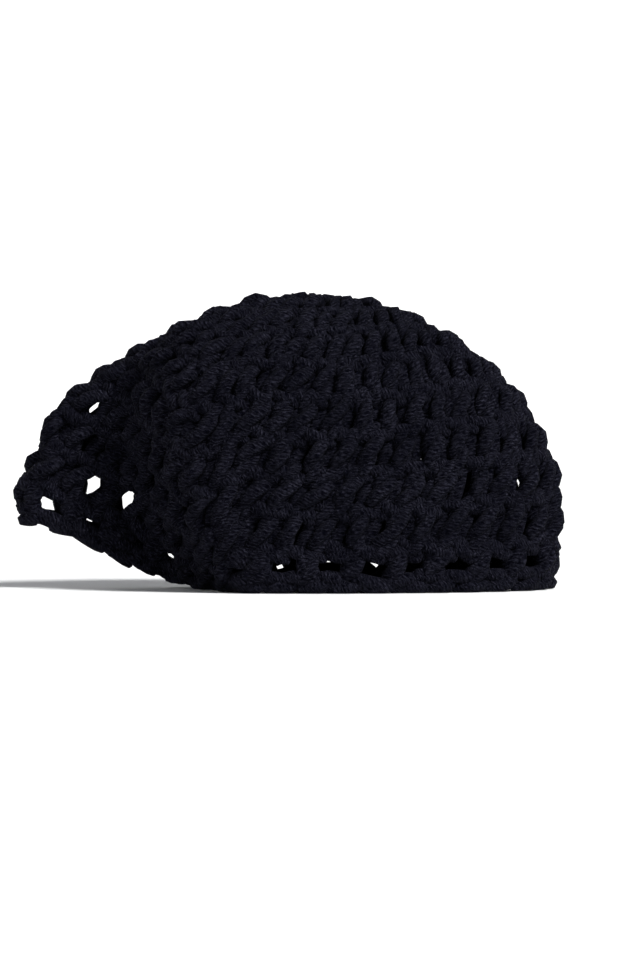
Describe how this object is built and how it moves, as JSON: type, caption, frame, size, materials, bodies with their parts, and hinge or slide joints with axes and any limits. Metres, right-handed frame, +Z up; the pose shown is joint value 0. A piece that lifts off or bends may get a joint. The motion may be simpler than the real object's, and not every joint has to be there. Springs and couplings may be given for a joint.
{
  "type": "crochet skullcap",
  "caption": "Soft round skullcap crocheted in thick yarn, with an openwork round above the rim and one end folded flat and turned up.",
  "frame": {"origin": "on the ground, under the middle of the cap", "axes": "+X to the right end, with the folded end at -X; the front faces -Y; +Z up to the crown"},
  "size_m": [0.227, 0.1074, 0.1213],
  "materials": {
    "yarn": "soft, slightly fuzzy plied yarn"
  },
  "bodies": {
    "root": {"crown": "yarn", "openwork_round": "yarn", "edging": "yarn"}
  },
  "joints": []
}
